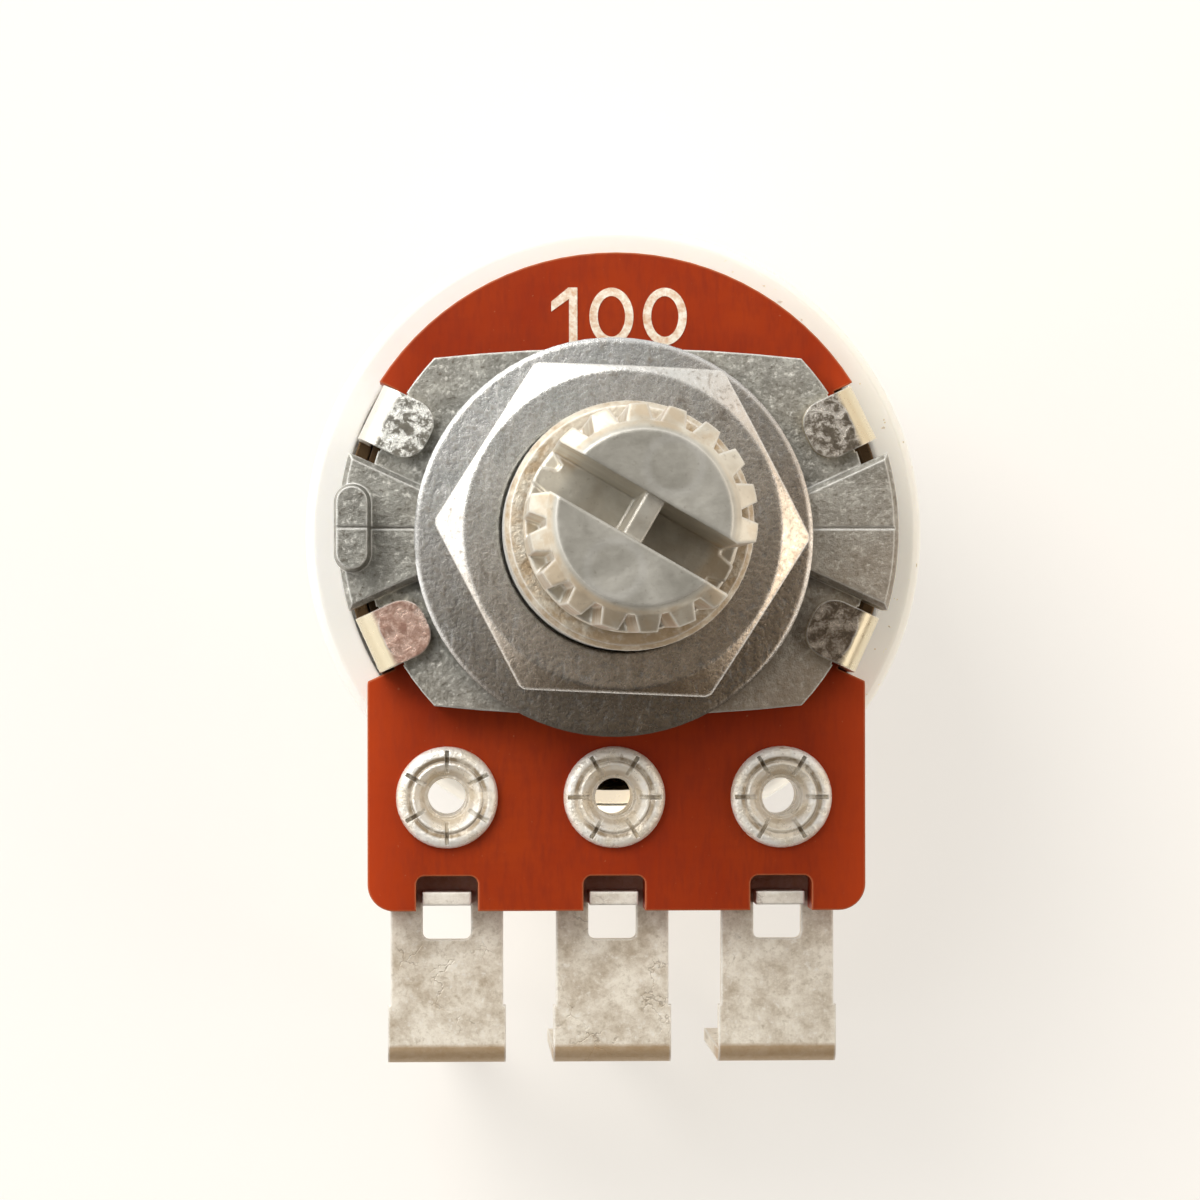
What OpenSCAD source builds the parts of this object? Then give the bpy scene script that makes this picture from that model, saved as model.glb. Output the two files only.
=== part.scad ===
// Panel potentiometer with circuit-board pins, 16 mm body.
// Frame: the origin is on the shaft axis, in the front face that meets the panel.
// +Z runs along the shaft, away from the body. The three terminals are on the -Y side.
// Millimetres throughout.

/* [Shaft] */
// Diameter of the shaft, over the knurl's teeth
shaft_d = 6; // [5.8:0.05:6.2]
// Height of the shaft's tip above the mounting face
shaft_len = 15; // [13:0.5:25]
// Length of the knurled end
knurl_len = 7; // [5:0.25:7.5]
// Diameter of the shaft's stem inside the bushing
stem_d = 5; // [4.8:0.05:5.2]
// Number of knurl teeth
knurl_teeth = 18; // [12:1:24]
// Depth of the knurl's grooves
knurl_depth = 0.45; // [0.2:0.05:0.5]
// Width of a knurl tooth at its tip
knurl_tip_w = 0.32; // [0.28:0.02:0.4]
// Height of the bevel round the shaft's tip
tip_bevel = 0.25; // [0.1:0.05:0.4]
// Width of the slot that splits the knurled end
slot_w = 1.25; // [0.8:0.1:1.5]
// Depth of the slot from the shaft's tip
slot_depth = 6.5; // [4:0.25:6.8]
// Thickness of the web across the middle of the slot
web_t = 0.55; // [0.3:0.05:0.8]
// Direction of the slot from +X, with the shaft turned fully anticlockwise
slot_angle = -30; // [-90:5:90]

/* [Bushing plate] */
// Outside diameter of the bushing's thread
thread_d = 7; // [6.9:0.05:7.3]
// Pitch of the bushing's thread
thread_pitch = 0.75; // [0.5:0.05:1]
// Depth of the thread
thread_depth = 0.36; // [0.2:0.02:0.4]
// Length of the threaded bushing
bushing_len = 6.8; // [6:0.1:7.5]
// Bevel on the bushing's end
bushing_bevel = 0.15; // [0.05:0.05:0.2]
// Thickness of the plate, from the mounting face to the wafer
plate_t = 1.7; // [1.6:0.05:2.2]
// Step down from the mounting face to the two lobes that the tabs grip
lobe_drop = 0.6; // [0.5:0.05:0.7]
// Height of the plate across its two lobes
plate_h = 10.9; // [10.4:0.1:11]
// Diameter of the lobes' round ends
lobe_d = 15; // [14.6:0.1:15.2]
// Diameter across the ends of the two wings
wing_d = 16.6; // [16:0.1:16.8]
// Diameter of the raised boss under the washer
boss_d = 10.6; // [10:0.1:11]
// Width of the locating lug
lug_w = 1.1; // [0.9:0.05:1.3]
// Length of the locating lug
lug_len = 2.6; // [2:0.1:3]
// Height of the locating lug above the mounting face
lug_h = 1; // [0.6:0.1:1.4]
// Distance of the locating lug from the axis
lug_x = 7.86; // [7.6:0.02:8]
// Distance of the locating lug above the X axis
lug_y = 0.1; // [-0.2:0.05:0.2]
// Slope of the lug's sides, as the width they lose towards its top
lug_draft = 0.2; // [0:0.05:0.3]
// Bevel on the wings' edges
wing_bevel = 0.15; // [0.05:0.05:0.25]
// Radius of the crown along a lobe's long edge
lobe_crown = 50; // [30:5:200]

/* [Nut and washer] */
// Width of the nut across its flats
nut_af = 9.5; // [9:0.05:10.2]
// Height of the nut
nut_h = 2; // [1.6:0.1:2.5]
// Turn of the nut from its corners on the X axis
nut_angle = -2.5; // [-15:0.5:15]
// Outside diameter of the washer
washer_d = 11.75; // [11.4:0.05:12]
// Thickness of the washer
washer_t = 0.5; // [0.4:0.05:0.6]
// How far the washer lies off the axis, towards the lower left
washer_shift = 0.25; // [0:0.05:0.3]

/* [Wafer] */
// Diameter of the wafer's round top
wafer_d = 16.8; // [16.6:0.1:17]
// Thickness of the wafer
wafer_t = 1.5; // [1.2:0.1:1.6]
// Width of the wafer's lower part
tail_w = 14.9; // [14.7:0.1:15.1]
// Distance from the axis to the wafer's bottom edge
tail_reach = 11.3; // [11.2:0.05:11.5]
// Radius of the wafer's corners
tail_corner = 0.8; // [0.5:0.1:0.9]
// Width of the notches in the bottom edge
notch_w = 1.85; // [1.7:0.05:2]
// Depth of the notches in the bottom edge
notch_h = 1.05; // [0.9:0.05:1.1]

/* [Terminals] */
// Distance between neighbouring terminals
pitch = 5; // [4.9:0.02:5.08]
// Sideways shift of the row of terminals from the shaft's axis
row_shift = -0.08; // [-0.2:0.02:0.2]
// Distance from the axis to the row of eyelets
eyelet_row = 7.9; // [7.8:0.05:8]
// Width of a terminal
leg_w = 3.4; // [3:0.1:3.5]
// How far the leg's lower end stands out past each side
ear_w = 0.08; // [0:0.02:0.2]
// Length of the leg's wider lower end
ear_len = 1.75; // [1:0.25:2.5]
// Thickness of the terminal sheet
sheet_t = 0.4; // [0.3:0.05:0.45]
// Distance from the axis to the outer face of the bent-back legs
leg_reach = 16; // [15:0.1:17]
// Inside radius of the legs' bend
bend_r = 0.12; // [0.08:0.02:0.3]
// Width of the solder pins
pin_w = 1.2; // [0.8:0.1:1.6]
// Length of the pins past the back of the dust cover
pin_out = 3.2; // [2:0.2:5]
// Width of the window above the bend, and of the lug lanced out of it
window_w = 1.45; // [1.2:0.05:1.5]
// Forward reach of the lanced lug
lance_len = 1.2; // [0.8:0.1:1.4]
// Outside diameter of an eyelet's flare
flare_d = 3.04; // [2.8:0.04:3.2]
// Diameter of the hole through an eyelet
eyelet_hole = 1.14; // [1:0.02:1.2]

/* [Can] */
// Outside diameter of the can
can_d = 16.4; // [16:0.1:16.6]
// Thickness of the can's sheet
can_t = 0.4; // [0.3:0.05:0.45]
// Depth of the can behind the wafer
can_depth = 6.6; // [6.4:0.1:8]
// Width of the four tabs
tab_w = 1.75; // [1.6:0.05:1.9]
// Direction of the two upper tabs from the X axis
tab_top = 26; // [25:0.5:28]
// Direction of the two lower tabs from the X axis
tab_low = 24.5; // [23:0.5:26]
// Inside radius of the tabs' fold
tab_bend = 0.35; // [0.1:0.05:0.4]
// Distance from the axis to the tabs' tips
tab_tip = 6.25; // [6.2:0.05:6.6]

/* [Dust cover] */
// Thickness of the dust cover's lip
lip_w = 1.05; // [0.95:0.05:1.5]
// Thickness of the dust cover's wall
cover_t = 0.8; // [0.6:0.05:0.9]
// Height of the thick lip round the cover's mouth
lip_h = 1.3; // [1:0.1:1.6]

/* [Hidden] */

$fn = 96;
over = 0.5;             // how far a cutting tool runs past what it cuts
far = 30;               // larger than the whole object

run_gap = 0.03;         // radial clearance of a piece that turns or slides
seat_gap = 0.08;        // clearance of a pressed part beside its neighbour
float_gap = 0.2;        // axial clearance of a piece that turns inside the body

// levels along the shaft
lobe_z = -lobe_drop;
wafer_front = -plate_t;
wafer_back = wafer_front - wafer_t;
sheet_back = wafer_back - sheet_t;
can_back = wafer_back - can_depth;
cover_gap = 0.1;
cover_back = can_back - cover_t;

// shaft
shaft_r = shaft_d / 2;
stem_r = stem_d / 2;
root_r = shaft_r - knurl_depth;
knurl_z = shaft_len - knurl_len;
knurl_phase = 12.5;
knurl_relief = 0.06;
head_z = bushing_len + 0.3;
slot_floor = shaft_len - slot_depth;
web_top = shaft_len - 0.3;
groove_r = stem_r - 0.6;
clip_t = 0.5;
clip_r = stem_r + 1.2;
clip_slack = 0.05;
clip_z = wafer_front + float_gap;
pocket_r = clip_r + 0.3;
pocket_top = clip_z + clip_t + float_gap;
collar_end = wafer_front - float_gap;
spigot_r = stem_r - 0.3;
spigot_flat = spigot_r - 0.6;
spigot_end = can_back + can_t + 0.8;

// nut and washer
thread_r = thread_d / 2;
nut_r = nut_af / 2 / cos(30);
nut_bevel = 0.45;
nut_mouth = 0.1;
nut_blunt = 0.05;
washer_bore_r = thread_r + run_gap + washer_shift;

// bushing
mouth_r = stem_r + 0.45;
mouth_h = 0.45;
thread_from = 0.4;
turns = floor((bushing_len - bushing_bevel - thread_from) / thread_pitch);
groove_half = thread_depth * tan(30) + 0.02;

// plate
wing_r = wing_d / 2;
wing_line = tab_w / 2 + 0.3;
wing_cut_from = boss_d / 2 - 0.1;
parting_w = 0.07;
parting_t = 0.04;
tab_in = can_d / 2 - can_t - 0.04;
notch_r = tab_in - 0.04;
lobe_notch_r = tab_in - tab_bend - 0.02;

// wafer
wafer_r = wafer_d / 2;
cap_corner = 0.12;
cap_from = 31.5;
wafer_hole_r = stem_r + 0.4;
barrel_r = eyelet_hole / 2 + 0.26;
flare_h = 0.36;
ink_t = 0.04;
track_r = [5.2, 6.6];
track_from = -61;
ring_r = [3.8, 4.5];
lead_w = 1;

// terminals
leg_top = eyelet_row - 1.65;
leg_bend = leg_reach - sheet_t - bend_r;
head_corner = 0.8;
foot_w = leg_w + 2 * ear_w;
window_top = tail_reach - 0.15;
window_low = window_top + lance_len - 0.1;
window_corner = 0.2;
shoulder_z = cover_back + 0.5;
pin_end = cover_back - pin_out;
pin_point = 0.35;

// can and dust cover
can_r = can_d / 2;
can_in = can_r - can_t;
can_corner = 0.7;
rim_cut = sheet_t + 0.6;
rim_cut_y = leg_top - lead_w / 2;
tab_round = 0.7;
cover_in = can_r + cover_gap;
cover_r = cover_in + lip_w;
cover_mouth = wafer_back - 0.05;
cover_cut_w = 2 * pitch + leg_w + 0.6;
body_r = cover_in + cover_t;
lip_round = 0.5;
cover_corner = 1;

// travel stop: a lug on the rotor meets a step pressed into the can's back
travel = 300;
stop_half = 18;
stop_inner = stop_half - 4;
lug_half = (360 - travel) / 2 - stop_half - 0.7;
stop_r = [4.6, 6.9];
stop_h = 1.5;
wiper_angle = 90 + travel / 2;

// rotor and wiper
rotor_gap = 0.55;
rotor_r = can_in - rotor_gap;
wiper_room = 1.4;
rotor_front = wafer_back - wiper_room;
rotor_t = 1.2;
rotor_back = rotor_front - rotor_t;
hub_r = spigot_r + 1.1;
hub_end = spigot_end - 0.3;
lug_end = can_back + can_t + 0.4;
wiper_t = 0.2;
finger_w = 0.6;
finger_len = 2.4;
finger_foot = 0.4;
strap_w = 1.2;
contact_half = 0.38;
tip_drop = 0.35;
contact_z = wafer_back - ink_t - 0.01;
peg_r = 0.35;
peg_at = hub_r - 0.3;

// ---------- shapes used by more than one piece ----------

// a copy at each of the four tabs, along +X
module at_tabs() {
    for (turn = [tab_top, 180 - tab_top, 180 + tab_low, -tab_low]) rotate(turn) children();
}

// an upright slab of a flat outline between two levels
module slab(low, high) {
    translate([0, 0, low]) linear_extrude(high - low) children();
}

// a flat ring sector between two radii and two angles
module sector(r_in, r_out, from, to, low, high) {
    rotate([0, 0, from]) rotate_extrude(angle = to - from)
        translate([r_in, low]) square([r_out - r_in, high - low]);
}

// a rectangle with four round corners, centred on the Y axis
module rounded(w, low, high, r) {
    union() {
        translate([-w / 2 + r, low]) square([w - 2 * r, high - low]);
        translate([-w / 2, low + r]) square([w, high - low - 2 * r]);
        for (x = [-w / 2 + r, w / 2 - r], y = [low + r, high - r]) translate([x, y]) circle(r);
    }
}

// the room that the can's tabs take outside radius r
module tab_rooms(r) {
    at_tabs() translate([r, -tab_w / 2 - seat_gap]) square([far, tab_w + 2 * seat_gap]);
}

// a round bar with two flats, as seen along the axis
module double_flat(r, flat) {
    intersection() {
        circle(r);
        square([2 * far, 2 * flat], center = true);
    }
}

// ---------- nut and washer ----------

module nut() {
    color("Gainsboro") translate([0, 0, washer_t]) difference() {
        intersection() {
            rotate(nut_angle) cylinder(h = nut_h, r = nut_r, $fn = 6);
            cylinder(h = nut_h, r = nut_r - nut_blunt);
            union() {
                cylinder(h = nut_h - nut_bevel, r = nut_r + over);
                translate([0, 0, nut_h - nut_bevel])
                    cylinder(h = nut_bevel, r1 = nut_r + 0.1, r2 = nut_af / 2 - 0.12);
            }
        }
        translate([0, 0, -over]) cylinder(h = nut_h + 2 * over, r = thread_r + run_gap);
        translate([0, 0, nut_h - nut_mouth])
            cylinder(h = nut_mouth, r1 = thread_r + run_gap, r2 = thread_r + run_gap + nut_mouth);
    }
}

module washer() {
    color("Silver") translate(washer_shift * [cos(225), sin(225), 0]) difference() {
        cylinder(h = washer_t, d = washer_d);
        translate([0, 0, -over]) cylinder(h = washer_t + 2 * over, r = washer_bore_r);
    }
}

// ---------- die-cast bushing plate ----------

// the room between the lobes' two crowned long edges
module crowned_band() {
    intersection_for(side = [-1, 1])
        translate([0, side * (lobe_crown - plate_h / 2)]) circle(lobe_crown);
}

module lobe_outline() {
    intersection() {
        circle(d = lobe_d);
        crowned_band();
    }
}

module wing_outline() {
    apex = wing_line / sin(tab_low);
    rise = far * tan(tab_low);
    intersection() {
        circle(wing_r);
        for (side = [0, 1]) mirror([side, 0])
            polygon([[apex, 0], [apex + far, rise], [apex + far, -rise]]);
    }
}

// the two raised wedges, with their upper edges bevelled
module wings() {
    leg = wing_bevel * sqrt(2);
    difference() {
        slab(wafer_front, 0) wing_outline();
        for (turn = [tab_low, 180 - tab_low, 180 + tab_low, -tab_low], side = [-1, 1])
            rotate(turn) translate([wing_cut_from + far / 2, side * wing_line, 0])
                rotate([45, 0, 0]) cube([far, leg, leg], center = true);
        difference() {
            translate([0, 0, -wing_bevel]) cylinder(h = 2 * wing_bevel, r = wing_r + over);
            translate([0, 0, -wing_bevel]) cylinder(h = 2 * wing_bevel, r1 = wing_r, r2 = wing_r - 2 * wing_bevel);
        }
    }
}

// an upright post of obround plan whose sides slope in towards its top
module locating_lug() {
    straight = lug_len - lug_w;
    half = lug_w / 2;
    top = half - lug_draft / 2;
    translate([-lug_x, lug_y, wafer_front]) {
        for (y = [-straight / 2, straight / 2]) translate([0, y, 0]) {
            cylinder(h = -wafer_front, r = half);
            translate([0, 0, -wafer_front]) cylinder(h = lug_h, r1 = half, r2 = top);
        }
        translate([0, straight / 2, 0]) rotate([90, 0, 0]) linear_extrude(straight) polygon([
            [-half, 0], [-half, -wafer_front], [-top, lug_h - wafer_front],
            [top, lug_h - wafer_front], [half, -wafer_front], [half, 0]
        ]);
    }
}

// the thin line that the casting's two die halves leave along the X axis
module parting_line(top) {
    translate([-far, lug_y - parting_w / 2, top - parting_t]) cube([2 * far, parting_w, parting_t + over]);
}

// the thread is drawn as rings, one to each turn
module threaded_bushing() {
    rotate_extrude() polygon(concat(
        [[0, wafer_front + over], [thread_r, wafer_front + over]],
        [for (i = [0 : turns - 1], step = [-1, 0, 1])
            [thread_r - (1 - abs(step)) * thread_depth,
             thread_from + (i + 0.5) * thread_pitch + step * groove_half]],
        [[thread_r, bushing_len - bushing_bevel], [thread_r - bushing_bevel, bushing_len], [0, bushing_len]]
    ));
}

module bushing_plate() {
    color("DarkGray") difference() {
        union() {
            slab(wafer_front, lobe_z) difference() {
                lobe_outline();
                tab_rooms(lobe_notch_r);
            }
            wings();
            slab(wafer_front, 0) circle(d = boss_d);
            locating_lug();
            threaded_bushing();
        }
        translate([0, 0, wafer_front - over])
            cylinder(h = bushing_len - wafer_front + 2 * over, r = stem_r + run_gap);
        translate([0, 0, wafer_front - over])
            cylinder(h = pocket_top - wafer_front + over, r = pocket_r);
        difference() {
            parting_line(0);
            cylinder(h = 2 * far, r = wing_cut_from, center = true);
            translate([-lug_x - lug_w / 2 - over, -far, -far])
                cube([lug_w + over, 2 * far, 2 * far]);
        }
        intersection() {
            parting_line(lug_h);
            translate([-lug_x - lug_w / 2 - over, -far, 0]) cube([lug_w + 2 * over, 2 * far, far]);
        }
        translate([0, 0, bushing_len - mouth_h])
            cylinder(h = 2 * mouth_h, r1 = mouth_r - mouth_h, r2 = mouth_r + mouth_h);
    }
}

// ---------- shaft and its clip ----------

module knurl_groove() {
    half_pitch = 180 / knurl_teeth;
    tip = asin(knurl_tip_w / 2 / shaft_r);
    open = half_pitch - tip;
    bottom = open * 0.3;
    polygon([
        root_r * [cos(bottom), sin(bottom)],
        root_r * [cos(bottom), -sin(bottom)],
        (shaft_r + over) * [cos(open * 1.15), -sin(open * 1.15)],
        (shaft_r + over) * [cos(open * 1.15), sin(open * 1.15)]
    ]);
}

module shaft_turned() {
    rotate_extrude() polygon([
        [0, spigot_end], [spigot_r, spigot_end], [spigot_r, collar_end], [stem_r, collar_end],
        [stem_r, clip_z], [groove_r, clip_z], [groove_r, clip_z + clip_t + clip_slack],
        [stem_r, clip_z + clip_t + clip_slack], [stem_r, head_z], [shaft_r, head_z],
        [shaft_r, knurl_z - knurl_relief], [shaft_r - knurl_relief, knurl_z],
        [shaft_r, knurl_z + knurl_relief],
        [shaft_r, shaft_len - 2 * tip_bevel], [root_r, shaft_len - tip_bevel],
        [root_r - tip_bevel, shaft_len], [0, shaft_len]
    ]);
}

module shaft() {
    color("WhiteSmoke") difference() {
        shaft_turned();
        slab(knurl_z, shaft_len + over)
            for (i = [0 : knurl_teeth - 1])
                rotate(knurl_phase + (i + 0.5) * 360 / knurl_teeth) knurl_groove();
        rotate(slot_angle) difference() {
            translate([-far, -slot_w / 2, slot_floor]) cube([2 * far, slot_w, slot_depth + over]);
            translate([-web_t / 2, -slot_w, slot_floor - over]) cube([web_t, 2 * slot_w, web_top - slot_floor + over]);
        }
        for (side = [0, 1]) mirror([0, side, 0])
            translate([-far, spigot_flat, spigot_end - over])
                cube([2 * far, far, collar_end - spigot_end + over]);
    }
}

module retaining_clip() {
    mouth = 2 * groove_r * 0.8;
    color("DimGray") slab(clip_z, clip_z + clip_t) rotate(wiper_angle) difference() {
        circle(clip_r);
        circle(groove_r + clip_slack);
        translate([0, -mouth / 2]) square([far, mouth]);
    }
}

// ---------- wafer and its printed tracks ----------

module cap_outline() {
    corner_r = wafer_r - cap_corner;
    turn = cap_from + asin(cap_corner / corner_r);
    reach = [cos(turn), sin(turn)];
    intersection() {
        circle(wafer_r);
        polygon([[0, 0], far * [reach.x, reach.y], [far, far], [-far, far], far * [-reach.x, reach.y]]);
    }
    for (side = [-1, 1]) translate(corner_r * [side * reach.x, reach.y]) circle(cap_corner);
}

module wafer_outline() {
    difference() {
        union() {
            circle(notch_r);
            cap_outline();
            rounded(tail_w, -tail_reach, -notch_r * sin(tab_low) - tab_w / 3, tail_corner);
        }
        circle(wafer_hole_r);
        tab_rooms(notch_r);
        for (i = [-1, 0, 1]) translate([i * pitch + row_shift, 0]) {
            translate([0, -eyelet_row]) circle(barrel_r);
            rounded(notch_w, -tail_reach - over, -tail_reach + notch_h, 0.25);
        }
    }
}

module wafer() {
    color("Sienna") slab(wafer_back, wafer_front) wafer_outline();
}

module carbon_track() {
    color("Black")
        sector(track_r[0], track_r[1], track_from, 180 - track_from, wafer_back - ink_t, wafer_back);
}

// the inner ring that the wiper collects from, with its tail to the middle terminal
module collector_ring() {
    color("LightSteelBlue") {
        sector(ring_r[0], ring_r[1], 0, 360, wafer_back - ink_t, wafer_back);
        slab(wafer_back - ink_t, wafer_back) difference() {
            translate([row_shift - lead_w / 2, -leg_top]) square([lead_w, leg_top]);
            circle(ring_r[1]);
        }
    }
}

// a strip from the track's end to the top edge of an outer terminal at distance x
module end_lead(x) {
    end = [cos(track_from), sin(track_from)];
    near = x - leg_w / 2 + head_corner;
    color("LightSteelBlue") slab(wafer_back - ink_t, wafer_back) difference() {
        polygon([track_r[0] * end, track_r[1] * end, [near, -leg_top], [near + lead_w, -leg_top]]);
        circle(track_r[1]);
    }
}

module lead_left() { mirror([1, 0, 0]) end_lead(pitch - row_shift); }
module lead_right() { end_lead(pitch + row_shift); }

// ---------- terminals and eyelets ----------

// the leg from its top end to the bend, with its window and its eyelet hole
module leg_plate() {
    slab(sheet_back, wafer_back) difference() {
        union() {
            rounded(leg_w, -leg_bend - 2 * head_corner, -leg_top, head_corner);
            translate([-foot_w / 2, -leg_reach]) square([foot_w, ear_len]);
        }
        translate([-far, -leg_bend - far]) square([2 * far, far]);
        translate([0, -eyelet_row]) circle(barrel_r);
        difference() {
            rounded(window_w, -window_low, -window_top + 1, window_corner);
            translate([-far, -window_top]) square([2 * far, far]);
        }
    }
}

module lanced_lug() {
    reach = wafer_back + lance_len;
    translate([-window_w / 2, -window_top, sheet_back])
        cube([window_w, sheet_t, reach - sheet_back]);
}

module terminal() {
    color("Silver") {
        leg_plate();
        lanced_lug();
        translate([-foot_w / 2, -leg_bend, sheet_back - bend_r])
            rotate([0, 90, 0]) rotate([0, 0, 180]) rotate_extrude(angle = 90)
                translate([bend_r, 0]) square([sheet_t, foot_w]);
        translate([-foot_w / 2, -leg_reach, shoulder_z])
            cube([foot_w, sheet_t, sheet_back - bend_r - shoulder_z]);
        translate([0, sheet_t - leg_reach, 0]) rotate([90, 0, 0]) linear_extrude(sheet_t)
            polygon([
                [-pin_w / 2, shoulder_z + 0.01], [-pin_w / 2, pin_end + 2 * pin_point],
                [-pin_w / 2 + pin_point, pin_end], [pin_w / 2 - pin_point, pin_end],
                [pin_w / 2, pin_end + 2 * pin_point], [pin_w / 2, shoulder_z + 0.01]
            ]);
    }
}

module terminal_left() { translate([row_shift - pitch, 0, 0]) terminal(); }
module terminal_middle() { translate([row_shift, 0, 0]) terminal(); }
module terminal_right() { translate([row_shift + pitch, 0, 0]) terminal(); }

// half section of an eyelet: a barrel, a flat head at the back and a crimped flare at the front
module eyelet_section() {
    hole = eyelet_hole / 2;
    outer = flare_d / 2;
    roll = 0.26;
    funnel = hole + 0.38;
    translate([hole, sheet_back]) square([barrel_r - hole, wafer_front - sheet_back]);
    translate([hole, sheet_back - 0.25]) square([1.25 - hole, 0.25]);
    difference() {
        union() {
            translate([hole, wafer_front]) square([outer - roll - hole, flare_h - 0.14]);
            translate([outer - roll, wafer_front + flare_h - roll]) circle(roll);
            translate([funnel, wafer_front + flare_h - 0.2]) circle(0.2);
        }
        translate([0, wafer_front - 1]) square([far, 1]);
        polygon([
            [0, wafer_front - 0.4], [hole, wafer_front - 0.4], [hole, wafer_front - 0.1],
            [funnel + 0.05, wafer_front + flare_h + 0.02], [0, wafer_front + flare_h + 0.02]
        ]);
    }
}

module eyelet(i, turn) {
    color("Gainsboro") translate([i * pitch + row_shift, -eyelet_row, 0]) difference() {
        rotate_extrude() eyelet_section();
        for (k = [0 : 5]) rotate(turn + 60 * k)
            translate([eyelet_hole / 2 + 0.12, -0.06, wafer_front + 0.08])
                cube([flare_d / 2 - eyelet_hole / 2 - 0.24, 0.12, 1]);
    }
}

module eyelet_left() { eyelet(-1, 30); }
module eyelet_middle() { eyelet(0, 0); }
module eyelet_right() { eyelet(1, 0); }

// ---------- rotor and wiper ----------

module rotor() {
    color("Ivory") rotate(wiper_angle) {
        difference() {
            union() {
                slab(rotor_back, rotor_front) circle(rotor_r);
                slab(hub_end, rotor_back + over) circle(hub_r);
            }
            slab(spigot_end, rotor_front + over)
                rotate(-wiper_angle) double_flat(spigot_r, spigot_flat);
        }
        sector(stop_r[0], stop_r[1], -lug_half, lug_half, lug_end, rotor_back + over);
        for (turn = [90, 180, 270]) rotate(turn) translate([peg_at, 0, rotor_back + over])
            cylinder(h = rotor_front - rotor_back - over + wiper_t + 0.15, r = peg_r);
    }
}

// a finger's side view: it leaves the plate, rises to the track and turns down at its tip
module finger_outline() {
    base = rotor_front;
    crook = contact_half + tip_drop;
    slim = 0.4 * wiper_t;
    polygon([
        [-finger_len - finger_foot, base], [-finger_len, base],
        [-contact_half + slim, contact_z - wiper_t], [contact_half - slim, contact_z - wiper_t],
        [crook - wiper_t / 2, contact_z - tip_drop - wiper_t / 2], [crook, contact_z - tip_drop],
        [contact_half, contact_z], [-contact_half, contact_z],
        [-finger_len - slim, base + wiper_t], [-finger_len - finger_foot, base + wiper_t]
    ]);
}

module wiper() {
    mid_track = (track_r[0] + track_r[1]) / 2;
    mid_ring = (ring_r[0] + ring_r[1]) / 2;
    color("Gold") rotate(wiper_angle) {
        slab(rotor_front, rotor_front + wiper_t) difference() {
            union() {
                circle(hub_r + 0.3);
                translate([0, -finger_len - strap_w]) square([mid_track + finger_w / 2, strap_w]);
            }
            circle(spigot_r + 0.2);
            for (turn = [90, 180, 270]) rotate(turn) translate([peg_at, 0]) circle(peg_r);
        }
        for (x = [mid_track, mid_ring])
            translate([x - finger_w / 2, 0, 0]) rotate([90, 0, 90])
                linear_extrude(finger_w) finger_outline();
    }
}

// ---------- can and dust cover ----------

// half section of a cup with round outer edges
module cup_section(r_in, r_out, floor_z, thick, rim_z, corner) {
    difference() {
        union() {
            translate([0, floor_z]) square([r_out - corner, thick]);
            translate([0, floor_z + corner]) square([r_out, rim_z - floor_z - corner]);
            translate([r_out - corner, floor_z + corner]) circle(corner);
        }
        translate([-far, floor_z + corner]) square([far + r_in - (corner - thick) , far]);
        translate([-far, floor_z + thick]) square([far + r_in - (corner - thick), far]);
        translate([-far, floor_z + corner]) square([far + r_in, far]);
        translate([r_in - (corner - thick), floor_z + corner]) circle(corner - thick);
    }
}

module can_tab() {
    hinge_x = tab_in - tab_bend;
    hinge_z = lobe_z - tab_bend;
    translate([tab_in, -tab_w / 2, wafer_back - 0.4]) cube([can_t, tab_w, hinge_z - wafer_back + 0.4]);
    translate([hinge_x, tab_w / 2, hinge_z]) rotate([90, 0, 0]) rotate_extrude(angle = 90)
        translate([tab_bend, 0]) square([can_t, tab_w]);
    slab(lobe_z, lobe_z + can_t) {
        translate([tab_tip + tab_round, -tab_w / 2]) square([hinge_x - tab_tip - tab_round, tab_w]);
        translate([tab_tip, -tab_w / 2 + tab_round]) square([tab_round, tab_w - 2 * tab_round]);
        for (side = [-1, 1])
            translate([tab_tip + tab_round, side * (tab_w / 2 - tab_round)]) circle(tab_round);
    }
}

module can() {
    color("LightGray") {
        difference() {
            union() {
                rotate_extrude() cup_section(can_in, can_r, can_back, can_t, wafer_back, can_corner);
                sector(stop_r[0], stop_r[1], 270 - stop_half, 270 + stop_half,
                    can_back, can_back + can_t + stop_h);
            }
            sector(stop_r[0] + can_t, stop_r[1] - can_t, 270 - stop_inner, 270 + stop_inner,
                can_back - over, can_back + stop_h);
            translate([-far, -far, wafer_back - rim_cut]) cube([2 * far, far - rim_cut_y, rim_cut + over]);
        }
        at_tabs() can_tab();
    }
}

module dust_cover() {
    lip_low = cover_mouth - lip_h;
    color("OldLace", 0.6) difference() {
        rotate_extrude() {
            cup_section(cover_in, body_r, cover_back, cover_t, cover_mouth, cover_corner);
            translate([cover_in, lip_low]) square([cover_r - cover_in - lip_round, lip_h]);
            translate([cover_in, lip_low + lip_round]) square([cover_r - cover_in, lip_h - 2 * lip_round]);
            for (z = [lip_low + lip_round, cover_mouth - lip_round])
                translate([cover_r - lip_round, z]) circle(lip_round);
        }
        translate([-cover_cut_w / 2, -far, cover_mouth - rim_cut]) cube([cover_cut_w, far, rim_cut + over]);
    }
}

nut();
washer();
bushing_plate();
shaft();
retaining_clip();
wafer();
carbon_track();
collector_ring();
lead_left();
lead_right();
wiper();
rotor();
terminal_left();
terminal_middle();
terminal_right();
eyelet_left();
eyelet_middle();
eyelet_right();
can();
dust_cover();
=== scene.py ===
"""Looks, camera and light for the potentiometer, in the frame's metres.

The camera looks along -Z at the shaft's tip and the terminals point to -Y, as in the photograph.
Places and lengths below are in millimetres, unless a comment says otherwise.
"""
import math

import bpy
import bmesh
from mathutils import Matrix, Vector


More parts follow.
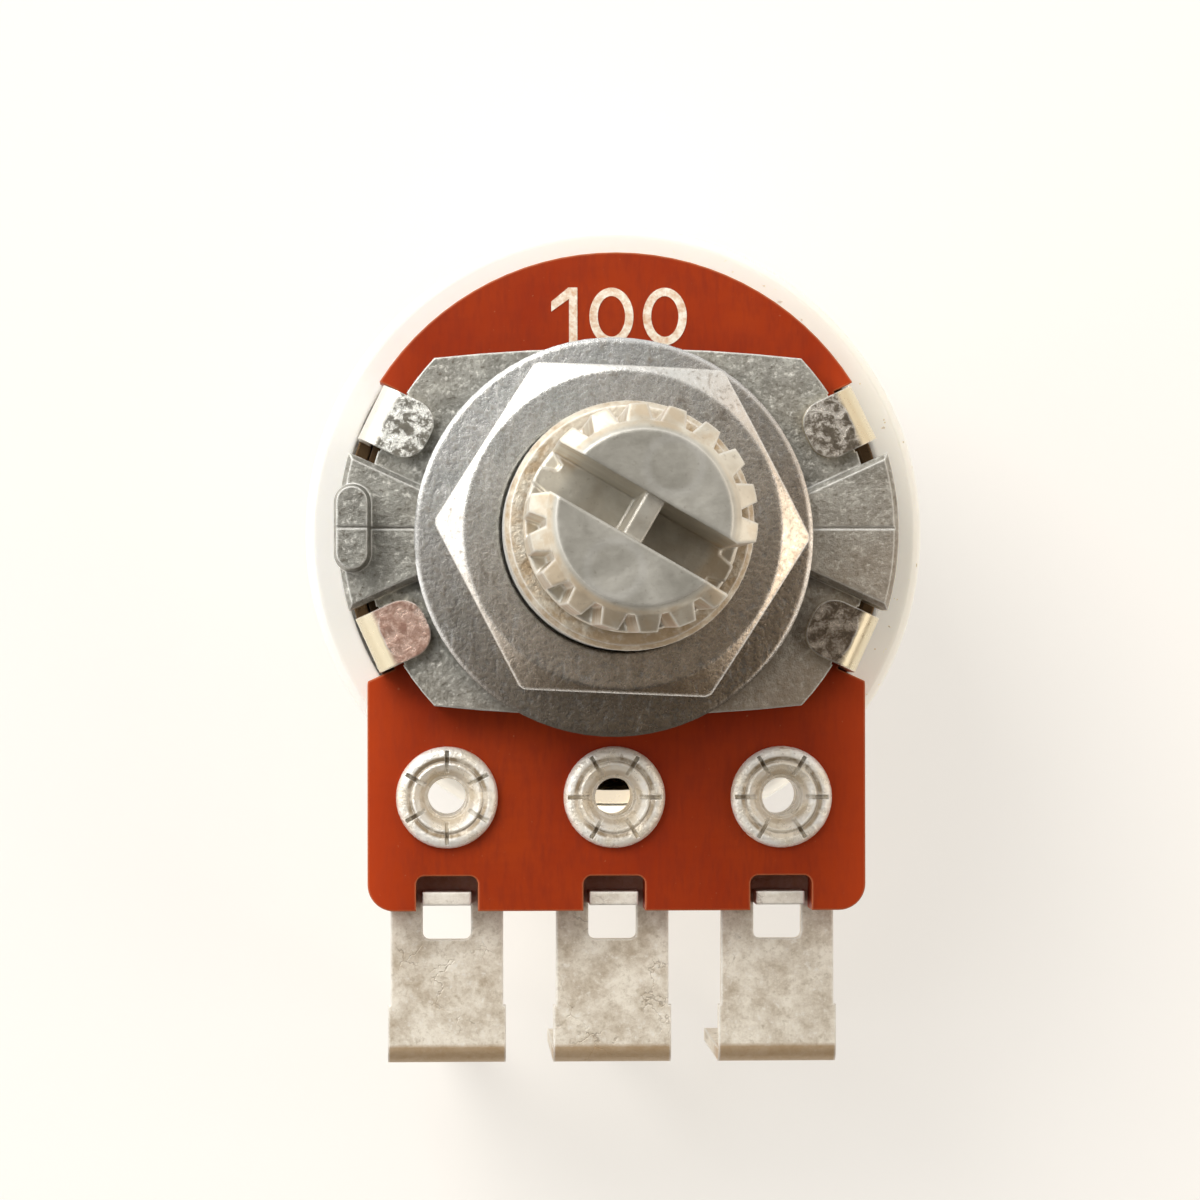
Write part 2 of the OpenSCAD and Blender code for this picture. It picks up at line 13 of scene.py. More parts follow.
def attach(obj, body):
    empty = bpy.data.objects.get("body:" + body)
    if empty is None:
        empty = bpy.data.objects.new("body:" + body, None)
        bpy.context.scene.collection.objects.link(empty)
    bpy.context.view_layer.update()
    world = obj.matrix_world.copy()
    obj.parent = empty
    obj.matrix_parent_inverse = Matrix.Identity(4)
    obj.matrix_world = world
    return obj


MM = 0.001

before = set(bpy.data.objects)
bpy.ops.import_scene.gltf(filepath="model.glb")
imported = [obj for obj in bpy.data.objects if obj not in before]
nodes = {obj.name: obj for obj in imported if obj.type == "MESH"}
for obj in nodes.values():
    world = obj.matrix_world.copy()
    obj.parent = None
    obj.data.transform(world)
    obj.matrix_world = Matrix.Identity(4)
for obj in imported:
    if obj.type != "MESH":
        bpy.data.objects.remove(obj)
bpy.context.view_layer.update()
scene = bpy.context.scene

# The camera, solved from points of the photograph
FOCAL_PX = 4187.0
IMAGE_PX = 1200.0
SENSOR = 36.0
CAMERA_PLACE = (-5.4447, -3.0397, 123.438)
CAMERA_TURN = (("Z", -0.059), ("Y", -2.262), ("X", 0.4736))  # degrees
CAMERA_CLIP = (0.01, 2.0)  # metres

# Places on the part
SHAFT_TIP = 15.0
TIP_MARKS = ((0.78, 1.34, SHAFT_TIP), (-0.78, -1.34, SHAFT_TIP))
TIP_MARK_R = 0.73
WAFER_FRONT = -1.7
PARTING_Y = 0.1
EYELET_X = {"left": -5.08, "middle": -0.08, "right": 4.92}
EYELET_Y = -7.9
EYELET_GROOVE_R = 1.13
FLOOR_Z = -13.9
FLOOR_HALF = 1500.0

# Lamps: name, place, side of the square, watts, colour
LAMP_AIM = (0.0, -3.0, 0.0)
LAMPS = (
    ("key", (-140.0, 170.0, 200.0), 160.0, 0.47, (1.0, 0.97, 0.92)),
    ("fill", (220.0, -50.0, 160.0), 200.0, 0.18, (1.0, 0.95, 0.88)),
)


def metres(place):
    return Vector(place) * MM


def rgb(r, g, b, light=1.0):
    return (r * light, g * light, b * light, 1.0)


def add_object(name, data):
    obj = bpy.data.objects.new(name, data)
    scene.collection.objects.link(obj)
    return obj


def add_camera():
    data = bpy.data.cameras.new("camera")
    data.sensor_width = SENSOR
    data.lens = FOCAL_PX / IMAGE_PX * SENSOR
    data.clip_start, data.clip_end = CAMERA_CLIP
    turn = Matrix.Identity(4)
    for axis, degrees in CAMERA_TURN:
        turn = turn @ Matrix.Rotation(math.radians(degrees), 4, axis)
    cam = add_object("camera", data)
    cam.matrix_world = Matrix.Translation(metres(CAMERA_PLACE)) @ turn
    scene.camera = cam


# ---------- shader trees ----------

class Tree:
    """Short calls for building any shader tree."""

    def __init__(self, tree, coordinate):
        self.tree = tree
        tree.nodes.clear()
        self.coord = self.new("TexCoord").outputs[coordinate]

    def new(self, kind):
        return self.tree.nodes.new("ShaderNode" + kind)

    def put(self, value, socket):
        if isinstance(value, bpy.types.NodeSocket):
            self.tree.links.new(value, socket)
        else:
            socket.default_value = value

    def range(self, value, low, high, to_low=0.0, to_high=1.0, kind="LINEAR"):
        """Map low..high to to_low..to_high, held at both ends."""
        node = self.new("MapRange")
        node.interpolation_type = kind
        for i, v in enumerate((value, low, high, to_low, to_high)):
            self.put(v, node.inputs[i])
        return node.outputs[0]

    def mix(self, fac, a, b):
        node = self.new("Mix")
        node.data_type = "RGBA"
        self.put(fac, node.inputs[0])
        self.put(a, node.inputs[6])
        self.put(b, node.inputs[7])
        return node.outputs[2]

    def math(self, kind, a, b=0.0):
        node = self.new("Math")
        node.operation = kind
        self.put(a, node.inputs[0])
        self.put(b, node.inputs[1])
        return node.outputs[0]

    def vector(self, kind, a, b, output=0):
        node = self.new("VectorMath")
        node.operation = kind
        self.put(a, node.inputs[0])
        self.put(b, node.inputs[1])
        return node.outputs[output]

    def add(self, first, *others):
        for other in others:
            first = self.math("ADD", first, other)
        return first

    def times(self, first, *others):
        for other in others:
            first = self.math("MULTIPLY", first, other)
        return first


class Material(Tree):
    """A Principled material whose colour is painted in layers, with noises in object space."""

    def __init__(self, name):
        self.mat = bpy.data.materials.new(name)
        self.mat.use_nodes = True
        super().__init__(self.mat.node_tree, "Object")
        self.bsdf = self.new("BsdfPrincipled")
        self.put(self.bsdf.outputs[0], self.new("OutputMaterial").inputs["Surface"])
        self.normal = None
        self.tone = None

    # textures; their scales are per millimetre

    def squeezed(self, scale):
        node = self.new("Mapping")
        self.put(self.coord, node.inputs["Vector"])
        node.inputs["Scale"].default_value = scale
        return node.outputs[0]

    def noise(self, per_mm, detail=4.0, rough=0.55, distort=0.0, vector=None, output="Fac"):
        node = self.new("TexNoise")
        self.put(vector or self.coord, node.inputs["Vector"])
        values = (("Scale", per_mm / MM), ("Detail", detail), ("Roughness", rough),
                  ("Distortion", distort))
        for name, value in values:
            node.inputs[name].default_value = value
        return node.outputs[output]

    def shaken(self, per_mm, amount):
        """The coordinate, shaken by a noise of up to this amount."""
        shake = self.noise(per_mm, rough=0.5, output="Color")
        return self.vector("ADD", self.coord, self.vector("MULTIPLY", shake, (amount * MM,) * 3))

    def cracks(self, per_mm, vector):
        """Distance from the borders of random cells."""
        node = self.new("TexVoronoi")
        node.feature = "DISTANCE_TO_EDGE"
        self.put(vector, node.inputs["Vector"])
        node.inputs["Scale"].default_value = per_mm / MM
        return node.outputs["Distance"]

    # lengths in the shader, and masks from 0 to share by length

    def along(self, axis):
        node = self.new("SeparateXYZ")
        self.put(self.coord, node.inputs[0])
        return node.outputs[axis]

    x = property(lambda self: self.along("X"))
    y = property(lambda self: self.along("Y"))
    z = property(lambda self: self.along("Z"))

    def across(self, x, y):
        """Length along a direction in the XY plane."""
        return self.vector("DOT_PRODUCT", self.coord, (x, y, 0.0), "Value")

    def distance(self, place):
        return self.vector("DISTANCE", self.coord, metres(place), "Value")

    def radius(self, x=0.0, y=0.0):
        """Distance from an axis along Z."""
        flat = self.vector("MULTIPLY", self.coord, (1.0, 1.0, 0.0))
        return self.vector("DISTANCE", flat, metres((x, y, 0.0)), "Value")

    def over(self, length, low, high, share=1.0):
        return self.range(length, low * MM, high * MM, 0.0, share)

    def under(self, length, low, high, share=1.0):
        return self.range(length, low * MM, high * MM, share, 0.0)

    def near(self, length, place, inner, outer, share=1.0):
        """Full within inner of the place, none beyond outer."""
        off = self.math("ABSOLUTE", self.math("SUBTRACT", length, place * MM))
        return self.under(off, inner, outer, share)

    # normals

    def soft_edges(self, radius):
        """Round the edges in the shading; returns a mask that is 1 on them."""
        node = self.new("Bevel")
        node.samples = 6
        node.inputs["Radius"].default_value = radius * MM
        self.normal = node.outputs[0]
        flat = self.new("NewGeometry").outputs["Normal"]
        return self.range(self.vector("DOT_PRODUCT", self.normal, flat, "Value"), 0.995, 0.90)

    def dished(self, amount):
        """Lean the shading normal outward from the shaft's axis, by this amount per metre."""
        out = self.vector("MULTIPLY", self.coord, (amount, amount, 0.0))
        self.normal = self.vector("ADD", self.normal, out)

    # colour layers and the end of a material

    def paint(self, mask, colour, share=None):
        """Lay a colour over the tone by the mask, or by a share of it."""
        if share is not None:
            mask = self.times(mask, share)
        self.tone = self.mix(mask, self.tone, colour)

    def set(self, **values):
        for name, value in values.items():
            self.put(value, self.bsdf.inputs[name.replace("_", " ")])

    def done(self, metallic, roughness, height, strength, depth):
        """Set colour, metal, roughness and bump, and return the material."""
        self.set(Base_Color=self.tone, Metallic=metallic, Roughness=roughness)
        node = self.new("Bump")
        self.put(height, node.inputs["Height"])
        if self.normal:
            self.put(self.normal, node.inputs["Normal"])
        node.inputs["Strength"].default_value = strength
        node.inputs["Distance"].default_value = depth * MM
        self.put(node.outputs[0], self.bsdf.inputs["Normal"])
        return self.mat


# ---------- materials ----------

def zinc():
    """Grey die-cast zinc with a parting line, painted shade browner to the lower right and painted
    highlights on its edges; the bushing's mouth is painted warm, paler toward the top as painted
    light and browner below as painted shade.
    """
    m = Material("zinc")
    edge = m.soft_edges(0.10)
    grain = m.noise(5.2, 5.0, 0.75)
    coarse = m.noise(1.5, 7.0, 0.7)
    stain = m.noise(0.42, 3.0, 0.5)
    m.tone = m.mix(m.range(coarse, 0.32, 0.68), rgb(0.21, 0.205, 0.18), rgb(0.44, 0.435, 0.395))
    m.paint(m.range(stain, 0.5, 0.7, 0.0, 0.45), rgb(0.26, 0.235, 0.19))
    m.paint(m.range(grain, 0.54, 0.68, 0.0, 0.8), rgb(0.11, 0.09, 0.065))
    m.paint(m.range(grain, 0.46, 0.32, 0.0, 0.7), rgb(0.84, 0.82, 0.76))
    # painted shade: browner toward the lower right
    m.paint(m.over(m.across(0.45, -0.89), 1.0, 7.0, 0.6), rgb(0.36, 0.27, 0.19))
    top_light = m.range(m.add(coarse, m.across(0.0, 14.0)), 0.42, 0.58)  # painted light, paler toward the top, with painted brown shade below
    mouth = m.over(m.z, 5.0, 6.2)
    m.paint(mouth, m.mix(top_light, rgb(0.50, 0.37, 0.23), rgb(0.74, 0.67, 0.55)), 0.85)
    # painted highlight along the edges
    m.paint(edge, rgb(0.97, 0.96, 0.92), 0.95)
    line = m.times(m.near(m.y, PARTING_Y, 0.03, 0.06), m.under(m.z, 1.2, 1.3))
    faint = m.range(m.x, -6.0 * MM, 6.0 * MM, 0.35, 0.10)
    m.paint(m.times(line, faint), rgb(0.16, 0.14, 0.11))
    return m.done(0.7, m.range(grain, 0.3, 0.7, 0.34, 0.52),
                  m.add(grain, m.times(coarse, 1.5)), 0.55, 0.07)


def plated(name, dish, edge_radius, light):
    """Bright scratched plating, warmer and browner to the lower right as painted shade, with
    painted highlights on its edges; light scales its main tones.
    """
    m = Material(name)
    edge = m.soft_edges(edge_radius)
    m.dished(dish)
    cloud = m.noise(0.6, 5.0, 0.6)
    grain = m.noise(6.5, 4.0, 0.7)
    streak = m.noise(2.6, 7.0, 0.75, 0.6, m.squeezed((1.0, 0.45, 1.0)))
    # painted shade: warmer and browner toward the lower right
    warm = m.over(m.add(m.across(0.55, -0.83), m.times(cloud, 3.0 * MM)), -3.0, 7.0)
    m.tone = m.mix(m.range(cloud, 0.35, 0.65),
                   rgb(0.78, 0.79, 0.76, light), rgb(0.90, 0.89, 0.86, light))
    m.paint(warm, rgb(0.78, 0.62, 0.46, light))
    m.paint(m.range(streak, 0.54, 0.66, 0.0, 0.6), rgb(0.32, 0.26, 0.20))
    m.paint(m.range(streak, 0.43, 0.35, 0.0, 0.6), rgb(0.99, 0.97, 0.94))
    m.paint(m.range(grain, 0.54, 0.68, 0.0, 0.6), rgb(0.22, 0.17, 0.12))
    m.paint(m.range(grain, 0.45, 0.32, 0.0, 0.6), rgb(0.97, 0.95, 0.91))
    # painted highlight along the edges
    m.paint(edge, rgb(0.99, 0.98, 0.96), 0.95)
    rough = m.math("SUBTRACT", m.range(grain, 0.3, 0.7, 0.20, 0.34), m.times(edge, 0.12))
    return m.done(1.0, rough, m.add(grain, streak, m.times(cloud, 0.6)), 0.34, 0.04)


def cast_shaft():
    """Cream to brown teeth round a grey tip, with two faint ring marks beside the slot."""
    m = Material("shaft_metal")
    edge = m.soft_edges(0.14)
    cloud = m.noise(0.7, 5.0, 0.6, 0.3)
    warm = m.noise(0.62, 5.0, 0.6, 0.4)
    pit = m.noise(6.0, 4.0, 0.65)
    cloudy = m.range(cloud, 0.35, 0.65)
    grey = m.mix(cloudy, rgb(0.45, 0.43, 0.375), rgb(0.60, 0.58, 0.52))
    for place in TIP_MARKS:
        mark = m.near(m.distance(place), TIP_MARK_R, 0.04, 0.18, 0.22)
        grey = m.mix(mark, grey, rgb(0.72, 0.71, 0.68))
    out = m.radius()
    m.tone = m.mix(cloudy, rgb(0.54, 0.49, 0.40), rgb(0.76, 0.72, 0.62))
    m.paint(m.range(warm, 0.44, 0.56, 0.0, 0.6), rgb(0.52, 0.39, 0.24))
    m.paint(m.over(m.z, SHAFT_TIP - 0.15, SHAFT_TIP - 0.05), grey)
    m.paint(m.under(out, 2.1, 2.3), grey, 0.75)
    m.paint(m.range(pit, 0.60, 0.76, 0.0, 0.5), rgb(0.24, 0.20, 0.15))
    # painted highlight along the outer edges, weaker inside the slot
    outer = m.range(out, 1.9 * MM, 2.4 * MM, 0.15, 0.8)
    m.paint(m.times(edge, outer), rgb(0.97, 0.94, 0.87))
    return m.done(0.6, m.range(cloud, 0.3, 0.7, 0.30, 0.44), m.noise(2.5, 3.0, 0.5), 0.3, 0.05)


def tinned():
    """Blotchy tinned sheet with a few cracks, painted brown shade round the bend, a painted red
    reflection and shade on the sheet under the wafer, and painted highlights on the lug tips and
    edges.
    """
    m = Material("tinned_sheet")
    edge = m.soft_edges(0.12)
    cloud = m.noise(0.9, 9.0, 0.76, 0.1)
    fleck = m.noise(5.2, 5.0, 0.75)
    crack = m.range(m.cracks(0.8, m.shaken(2.4, 0.8)), 0.0, 0.025, 1.0, 0.0)
    crack = m.times(crack, m.range(m.noise(0.5, 3.0, 0.5), 0.58, 0.64))
    # painted red reflection of the wafer, and painted shade, on the sheet in the notch
    notch_reflection = m.times(m.under(m.y, -10.3, -10.1), m.over(m.y, -11.0, -10.8),
                       m.under(m.z, -3.2, -3.0))
    # painted brown shade round the bend
    bend = m.times(m.under(m.y, -15.52, -15.40), m.over(m.z, -5.6, -4.3))
    # painted highlight on the lug tips
    lug_tip_highlight = m.over(m.z, -2.1, -1.9)
    m.tone = m.mix(m.range(cloud, 0.36, 0.60), rgb(0.56, 0.47, 0.355), rgb(0.92, 0.86, 0.745))
    m.paint(m.range(fleck, 0.53, 0.70, 0.0, 0.55), rgb(0.40, 0.32, 0.22))
    m.paint(m.range(fleck, 0.45, 0.32, 0.0, 0.6), rgb(0.98, 0.95, 0.89))
    m.paint(crack, rgb(0.20, 0.15, 0.10), 0.6)
    m.paint(bend, rgb(0.42, 0.27, 0.13), 0.8)
    m.paint(lug_tip_highlight, rgb(0.97, 0.95, 0.90), 0.6)
    # painted highlight along the edges
    m.paint(edge, rgb(0.98, 0.96, 0.91), 0.75)
    m.paint(notch_reflection, rgb(0.42, 0.12, 0.05), 0.75)
    return m.done(0.3, m.range(cloud, 0.3, 0.7, 0.38, 0.52),
                  m.math("SUBTRACT", m.add(cloud, fleck), crack), 0.35, 0.05)


def can_steel():
    """Plated tabs, hammered on their faces; each corner has the tint that it has in the photo,
    painted in as light and shade: painted dark brown shade to the lower right, painted reddish
    shade to the lower left, and painted highlights on the bends and edges.
    """
    m = Material("can_steel")
    edge = m.soft_edges(0.08)
    dent = m.noise(3.4, 7.0, 0.75, 0.3)
    dented = m.range(dent, 0.40, 0.60)
    flat = m.over(m.z, -0.26, -0.21)
    # painted shade low in the can, below the wafer
    deep_shade = m.times(m.under(m.z, -3.0, -2.2), m.over(m.y, -6.0, -5.5))
    # painted shade: dark brown toward the lower right, reddish toward the lower left
    lower_right_shade = m.over(m.across(0.7, -0.7), -7.0, 8.0, 0.90)
    lower_left_shade = m.over(m.across(-0.75, -0.66), 5.0, 6.2, 0.85)
    cream = m.over(m.across(0.6, -0.8), -8.5, -2.0)
    m.tone = m.mix(m.range(dent, 0.44, 0.54), rgb(0.80, 0.80, 0.76), rgb(0.16, 0.15, 0.125))
    m.paint(lower_right_shade, m.mix(dented, rgb(0.20, 0.145, 0.095), rgb(0.055, 0.035, 0.02)))
    m.paint(lower_left_shade, m.mix(dented, rgb(0.60, 0.40, 0.32), rgb(0.36, 0.20, 0.15)))
    # painted highlight and reflection on all but the tab faces: white to the upper left, golden to
    # the lower right
    m.tone = m.mix(flat, m.mix(cream, rgb(0.90, 0.89, 0.86), rgb(0.78, 0.69, 0.50)), m.tone)
    # painted highlight along the edges
    m.paint(edge, rgb(0.97, 0.95, 0.90), 0.6)
    m.paint(deep_shade, rgb(0.16, 0.10, 0.05))
    # painted glow: the rim behind the middle eyelet glows as if lit through the cover
    rim = m.times(m.over(m.z, -4.4, -4.3), m.under(m.z, -3.9, -3.8),
                  m.near(m.x, 0.0, 0.9, 1.0, 0.75))
    m.set(Emission_Color=rgb(1.0, 0.87, 0.68), Emission_Strength=rim)
    return m.done(0.8, m.range(dent, 0.3, 0.7, 0.22, 0.40), m.times(dent, flat), 0.6, 0.10)


def eyelet_metal(side):
    """Cream plating, darker in the barrel and brown in the groove of the rolled rim, both as
    painted shade, with painted highlights on the edges.
    """
    m = Material("eyelet_metal_" + side)
    edge = m.soft_edges(0.05)
    cloud = m.noise(1.3, 5.0, 0.6)
    fine = m.noise(5.2, 4.0, 0.7)
    out = m.radius(EYELET_X[side], EYELET_Y)
    # painted shade in the groove of the rolled rim
    groove = m.times(m.near(out, EYELET_GROOVE_R, 0.06, 0.12),
                     m.range(cloud, 0.40, 0.54, 0.25, 0.9))
    m.tone = m.mix(m.range(cloud, 0.38, 0.60), rgb(0.90, 0.82, 0.68), rgb(1.0, 0.98, 0.93))
    m.paint(m.range(fine, 0.58, 0.72, 0.0, 0.6), rgb(0.38, 0.28, 0.17))
    # painted shade in the barrel
    m.paint(m.under(out, 0.78, 0.86, 0.55), rgb(0.50, 0.39, 0.25))
    m.paint(groove, rgb(0.27, 0.19, 0.10))
    # painted highlight along the edges
    m.paint(edge, rgb(0.99, 0.98, 0.94), 0.4)
    return m.done(0.30, m.range(cloud, 0.3, 0.7, 0.22, 0.36),
                  m.add(m.times(cloud, 1.6), fine), 0.5, 0.08)


def phenolic():
    """Red-brown pressed paper, lighter to its sides, with painted highlights along its edges and
    painted shade between the tabs and wings.
    """
    m = Material("phenolic")
    edge = m.soft_edges(0.10)
    cloud = m.noise(0.3, 4.0, 0.55)
    fibre = m.noise(5.2, 4.0, 0.6, 0.0, m.squeezed((1.0, 0.22, 1.0)))
    weave = m.noise(3.0, 3.0, 0.6, 0.0, m.squeezed((0.2, 1.0, 1.0)))
    speck = m.noise(7.0, 2.0, 0.5)
    from_middle = m.math("ABSOLUTE", m.x)
    # painted shade: dark brown where the wafer's edge lies in shadow between tab and wing
    between_tabs_shade = m.times(m.near(m.y, 0.0, 3.1, 3.3), m.over(from_middle, 6.8, 6.9))
    m.tone = m.mix(m.range(cloud, 0.3, 0.7), rgb(0.285, 0.023, 0.002), rgb(0.35, 0.037, 0.003))
    m.paint(m.range(fibre, 0.45, 0.7, 0.0, 0.45), rgb(0.20, 0.018, 0.003))
    m.paint(m.range(weave, 0.5, 0.72, 0.0, 0.25), rgb(0.24, 0.022, 0.004))
    m.paint(m.range(speck, 0.73, 0.78, 0.0, 0.4), rgb(0.50, 0.22, 0.12))
    m.paint(m.over(from_middle, 5.8, 7.3, 0.55), rgb(0.56, 0.060, 0.008))
    # painted highlight along the edges
    m.paint(edge, rgb(0.70, 0.27, 0.12), 0.65)
    m.paint(between_tabs_shade, rgb(0.09, 0.05, 0.02))
    m.set(Specular_IOR_Level=0.18)
    return m.done(0.0, m.range(fibre, 0.3, 0.7, 0.42, 0.55), m.add(fibre, weave), 0.2, 0.03)


def milky_plastic():
    """Translucent cover: its rim has a painted glow, its walls are duller, a few specks to the
    right, and painted warm shade toward the right.
    """
    m = Material("cover_plastic")
    m.soft_edges(0.15)
    cloud = m.noise(0.2, 3.0, 0.5)
    speck = m.noise(4.2, 2.0, 0.5)
    # painted shade: warmer toward the right, where the specks also lie
    warm = m.over(m.across(1.0, -0.35), -8.0, 10.0)
    m.tone = m.mix(warm, rgb(0.95, 0.94, 0.90), rgb(0.93, 0.88, 0.77))
    m.paint(m.range(cloud, 0.4, 0.7, 0.0, 0.4), rgb(0.90, 0.87, 0.80))
    m.paint(m.times(m.range(speck, 0.70, 0.74, 0.0, 0.85), warm), rgb(0.25, 0.17, 0.09))
    m.paint(m.under(m.z, -4.2, -3.6), rgb(0.79, 0.775, 0.73))
    # painted glow: strongest on the rim, faint on the walls
    glow = m.range(m.z, -4.2 * MM, -3.6 * MM, 0.04, 0.22)
    # painted glow behind the middle eyelet and under the wafer
    behind_eyelet_glow = m.times(m.over(m.y, -8.8, -8.7), m.under(m.y, -7.8, -7.7),
                            m.near(m.x, 0.0, 0.9, 1.0, 0.6), m.over(m.z, -5.0, -4.5))
    under_wafer_glow = m.times(m.under(m.y, -6.6, -6.2, 0.4), m.over(m.z, -5.5, -4.5))
    m.set(Transmission_Weight=0.3, Subsurface_Weight=0.35,
          Subsurface_Radius=(0.002, 0.0018, 0.0015), IOR=1.5,
          Emission_Color=rgb(1.0, 0.96, 0.88),
          Emission_Strength=m.add(behind_eyelet_glow, under_wafer_glow, glow))
    return m.done(0.0, m.range(cloud, 0.3, 0.7, 0.40, 0.48), cloud, 0.1, 0.1)


def print_ink():
    m = Material("print_ink")
    wear = m.noise(4.5, 4.0, 0.65)
    m.tone = m.mix(m.range(wear, 0.40, 0.66), rgb(0.90, 0.84, 0.72), rgb(0.66, 0.42, 0.26))
    return m.done(0.0, 0.55, wear, 0.2, 0.02)


def inner_material(name, dark, light, metallic, rough):
    """A plain clouded material for the pieces inside."""
    m = Material(name)
    cloud = m.noise(1.5, 4.0, 0.55)
    m.tone = m.mix(m.range(cloud, 0.35, 0.65), rgb(*dark), rgb(*light))
    return m.done(metallic, m.range(cloud, 0.3, 0.7, rough, rough + 0.12), cloud, 0.15, 0.04)


# Inner pieces: nodes, material name, dark and light colour, metallic, roughness
INNER = (
    (("retaining_clip",), "spring_steel", (0.25, 0.25, 0.26), (0.36, 0.36, 0.37), 1.0, 0.3),
    (("carbon_track",), "carbon", (0.015,) * 3, (0.03,) * 3, 0.0, 0.5),
    (("collector_ring", "lead_left", "lead_right"), "silver_ink",
     (0.55,) * 3, (0.7,) * 3, 0.8, 0.45),
    (("wiper",), "wiper_brass", (0.66, 0.46, 0.18), (0.8, 0.6, 0.28), 1.0, 0.25),
    (("rotor",), "rotor_plastic", (0.68, 0.65, 0.57), (0.78, 0.76, 0.68), 0.0, 0.45),
)


def dress(material, *names):
    for name in names:
        mesh = nodes[name].data
        mesh.materials.clear()
        mesh.materials.append(material)


def dress_all():
    dress(plated("plated_nut", 5.0, 0.16, 1.0), "nut")
    dress(plated("plated_washer", 16.0, 0.24, 0.68), "washer")
    dress(zinc(), "bushing_plate")
    dress(cast_shaft(), "shaft")
    dress(phenolic(), "wafer")
    dress(tinned(), "terminal_left", "terminal_middle", "terminal_right")
    for side in EYELET_X:
        dress(eyelet_metal(side), "eyelet_" + side)
    dress(can_steel(), "can")
    dress(milky_plastic(), "dust_cover")
    for names, *recipe in INNER:
        dress(inner_material(*recipe), *names)


# ---------- the printed number ----------

DIGIT_FOOT = 5.62
DIGIT_TOP = 7.34
DIGIT_STROKE = 0.25
ONE_X = -1.42  # left side of the stem of the "1"
ONE_FLAG = 0.53  # reach of its flag to the left
ZERO_X = (-0.15, 1.45)
ZERO_HALF_W = 0.66
ZERO_STEPS = 48
INK_Z = (WAFER_FRONT - 0.001, WAFER_FRONT + 0.02)


def add_walls(bm, lower, upper):
    """Upright faces between two loops of vertices."""
    for i in range(len(lower)):
        k = (i + 1) % len(lower)
        bm.faces.new((lower[i], lower[k], upper[k], upper[i]))


def add_loop(bm, line, z):
    return [bm.verts.new(metres((x, y, z))) for x, y in line]


def add_zero(bm, cx):
    """A flat closed ring."""
    middle, half_h = (DIGIT_FOOT + DIGIT_TOP) / 2, (DIGIT_TOP - DIGIT_FOOT) / 2

    def oval(inset):
        turns = [2 * math.pi * i / ZERO_STEPS for i in range(ZERO_STEPS)]
        return [(cx + (ZERO_HALF_W - inset) * math.cos(t), middle + (half_h - inset) * math.sin(t))
                for t in turns]

    low_out, low_in, high_out, high_in = [add_loop(bm, oval(inset), z) for z in INK_Z
                                          for inset in (0.0, DIGIT_STROKE)]
    for a, b in ((low_out, high_out), (high_out, high_in), (high_in, low_in), (low_in, low_out)):
        add_walls(bm, a, b)


def add_one(bm):
    """A flat closed stem with a sloping flag."""
    line = [(ONE_X, DIGIT_FOOT), (ONE_X + DIGIT_STROKE, DIGIT_FOOT),
            (ONE_X + DIGIT_STROKE, DIGIT_TOP), (ONE_X - 0.02, DIGIT_TOP),
            (ONE_X - ONE_FLAG, DIGIT_TOP - 0.42), (ONE_X - ONE_FLAG, DIGIT_TOP - 0.72),
            (ONE_X, DIGIT_TOP - 0.34)]
    lower, upper = [add_loop(bm, line, z) for z in INK_Z]
    bm.faces.new(upper)
    bm.faces.new(lower[::-1])
    add_walls(bm, lower, upper)


def add_mark():
    """A plain "100" in light ink, partly under the washer."""
    bm = bmesh.new()
    add_one(bm)
    for cx in ZERO_X:
        add_zero(bm, cx)
    mesh = bpy.data.meshes.new("wafer_mark")
    bmesh.ops.recalc_face_normals(bm, faces=bm.faces)
    bm.to_mesh(mesh)
    bm.free()
    mesh.materials.append(print_ink())
    mark = add_object("wafer_mark", mesh)
    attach(mark, "body")


# ---------- floor and light ----------

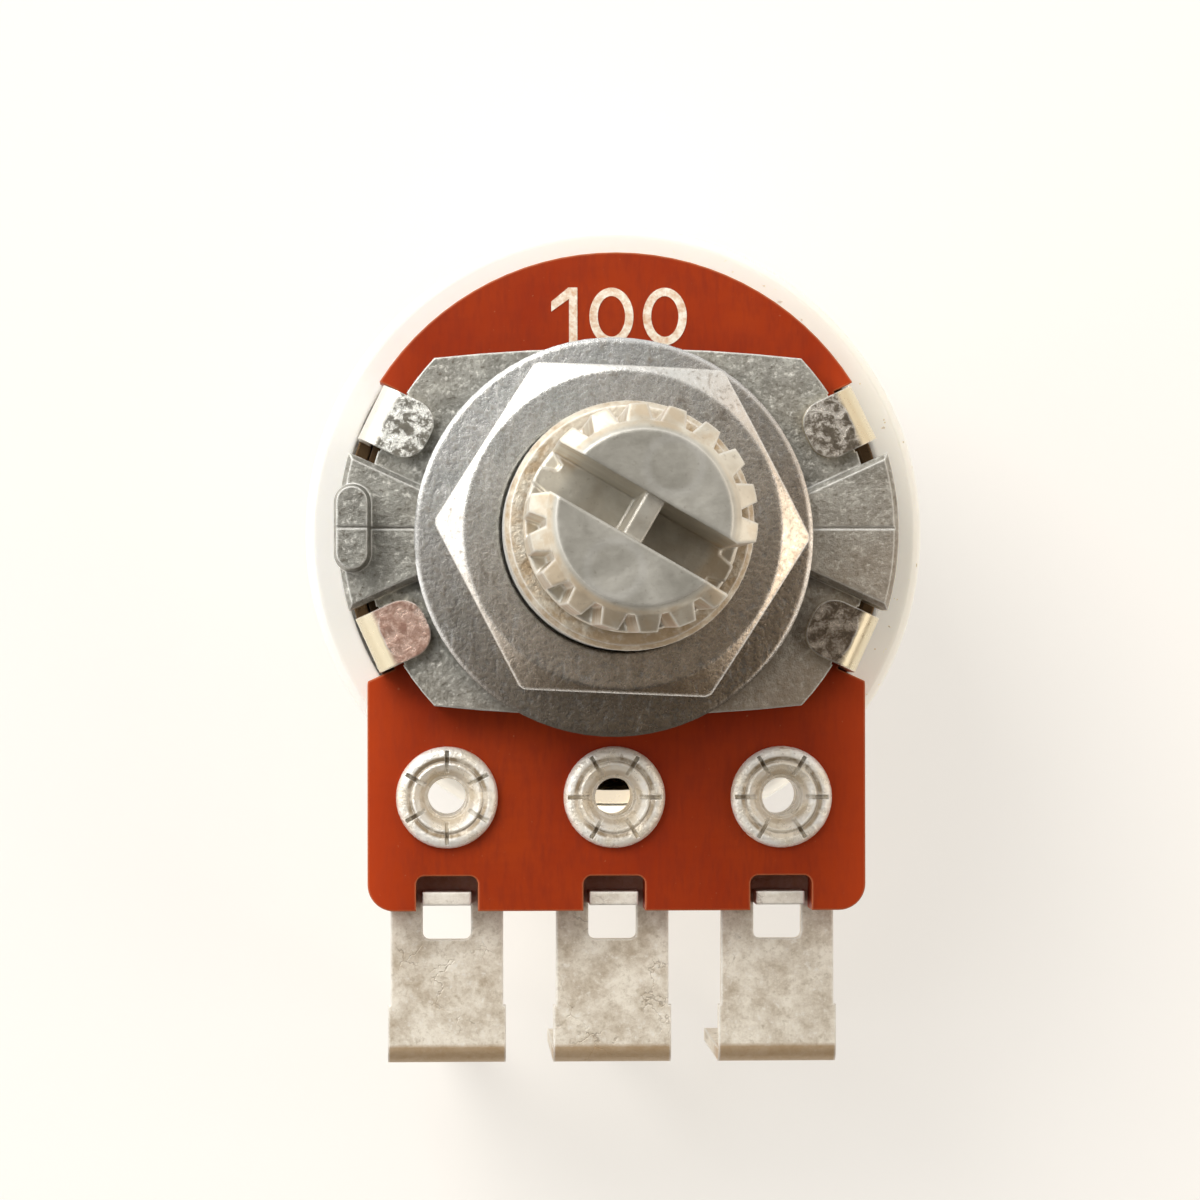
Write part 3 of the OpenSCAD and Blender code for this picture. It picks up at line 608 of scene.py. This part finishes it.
def add_floor():
    """A pale floor just under the terminals; its own glow keeps the shadows light."""
    mesh = bpy.data.meshes.new("floor")
    corners = ((-1, -1), (1, -1), (1, 1), (-1, 1))
    mesh.from_pydata([metres((x * FLOOR_HALF, y * FLOOR_HALF, FLOOR_Z)) for x, y in corners],
                     [], [(0, 1, 2, 3)])
    m = Material("floor")
    m.set(Base_Color=m.mix(m.noise(0.04, 2.0, 0.5), rgb(0.49, 0.475, 0.45), rgb(0.51, 0.495, 0.47)),
          Roughness=0.9, Emission_Color=rgb(1.0, 0.965, 0.91), Emission_Strength=0.51)
    mesh.materials.append(m.mat)
    floor = add_object("floor", mesh)


def add_lamps():
    for name, place, side, watts, colour in LAMPS:
        data = bpy.data.lights.new(name, "AREA")
        data.shape = "RECTANGLE"
        data.size = data.size_y = side * MM
        data.energy = watts
        data.color = colour
        way = (metres(LAMP_AIM) - metres(place)).to_track_quat("-Z", "Y")
        lamp = add_object(name, data)
        lamp.matrix_world = Matrix.Translation(metres(place)) @ way.to_matrix().to_4x4()


def add_world():
    """Soft light, brightest at the left, dark toward -Y and overhead; white to the camera."""
    world = bpy.data.worlds.new("world")
    scene.world = world
    world.use_nodes = True
    w = Tree(world.node_tree, "Generated")

    def facing(direction, low, high, to_low, to_high):
        cosine = w.vector("DOT_PRODUCT", w.coord, Vector(direction).normalized(), "Value")
        return w.range(cosine, low, high, to_low, to_high, "SMOOTHSTEP")

    def background(colour, strength):
        node = w.new("Background")
        w.put(colour, node.inputs["Color"])
        w.put(strength, node.inputs["Strength"])
        return node.outputs[0]

    dark_low = facing((0.25, -0.95, 0.35), 0.15, 0.80, 0.90, 0.090)
    dark_overhead = facing((0.08, -0.24, 1.0), 0.70, 0.965, 1.0, 0.13)
    left_glow = facing((-0.95, 0.38, 0.36), 0.35, 0.95, 0.0, 0.8)
    cool = facing((-0.62, 0.76, 0.2), -0.75, 0.65, 0.0, 1.0)
    tint = w.mix(cool, rgb(1.0, 0.80, 0.60), rgb(0.97, 0.975, 0.97))
    mix = w.new("MixShader")
    w.put(w.new("LightPath").outputs["Is Camera Ray"], mix.inputs[0])
    soft = w.add(w.times(dark_low, dark_overhead), left_glow)
    w.put(background(tint, soft), mix.inputs[1])
    w.put(background(rgb(1.0, 1.0, 1.0), 1.0), mix.inputs[2])
    w.put(mix.outputs[0], w.new("OutputWorld").inputs["Surface"])


add_camera()
dress_all()
add_mark()
add_floor()
add_world()
add_lamps()
scene.view_settings.view_transform = "Standard"
